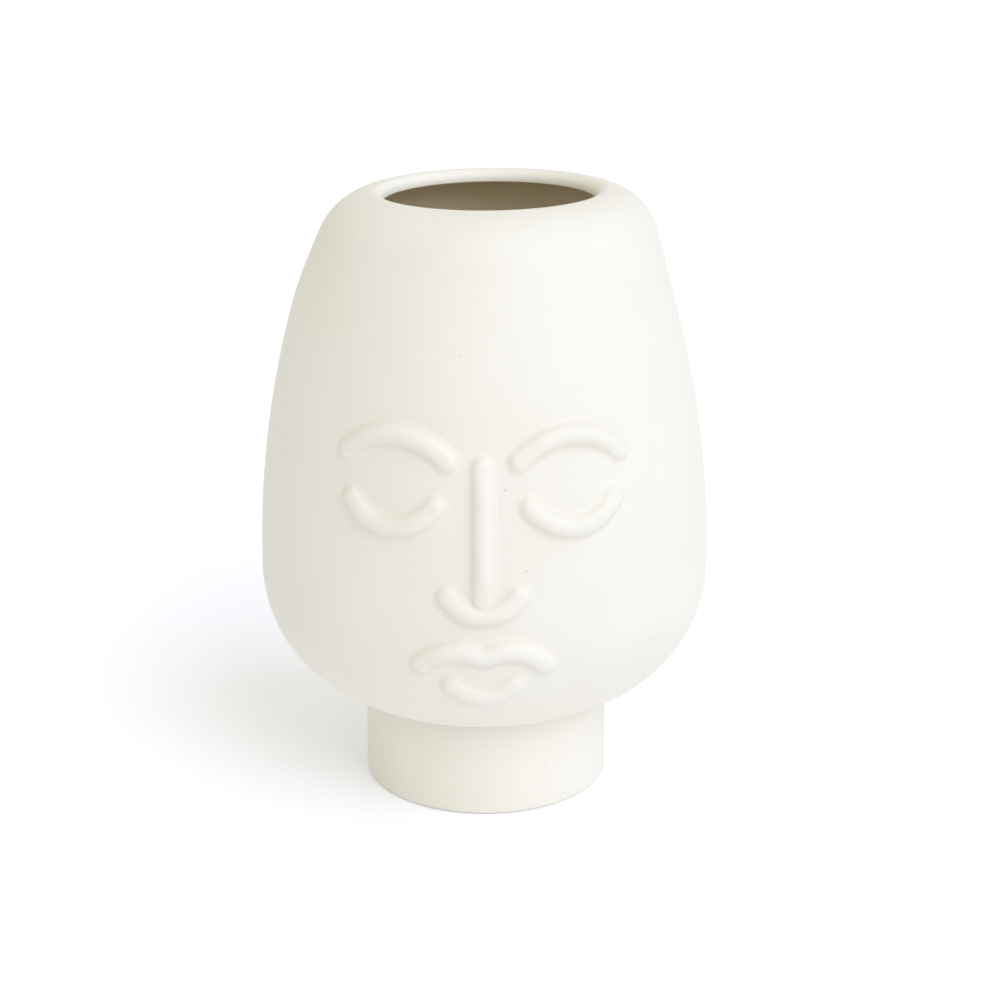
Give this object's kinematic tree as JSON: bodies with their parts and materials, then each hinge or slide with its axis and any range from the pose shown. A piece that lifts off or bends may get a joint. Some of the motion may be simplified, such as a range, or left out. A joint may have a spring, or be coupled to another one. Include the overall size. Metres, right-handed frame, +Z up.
{
  "type": "face vase",
  "caption": "Egg-shaped stoneware vase on a foot ring, with a calm face in raised clay coils on its front and an open mouth for flowers.",
  "frame": {"origin": "centre of the foot ring's resting face, on the table", "axes": "+Z up along the vase's axis, -Y out of the face, +X to the right of someone looking at the face"},
  "size_m": [0.178, 0.1811, 0.24],
  "materials": {
    "white_clay": "matte cream-white glaze",
    "face_clay": "matte cream-white glaze",
    "liner_glaze": "warm ivory liner glaze"
  },
  "bodies": {
    "root": {"bowl": "white_clay", "liner_glaze": "liner_glaze", "foot_ring": "white_clay", "brow_left": "face_clay", "brow_right": "face_clay", "eyelid_left": "face_clay", "eyelid_right": "face_clay", "nose_base": "face_clay", "nose_ridge": "face_clay", "upper_lip": "face_clay", "lower_lip": "face_clay"}
  },
  "joints": []
}
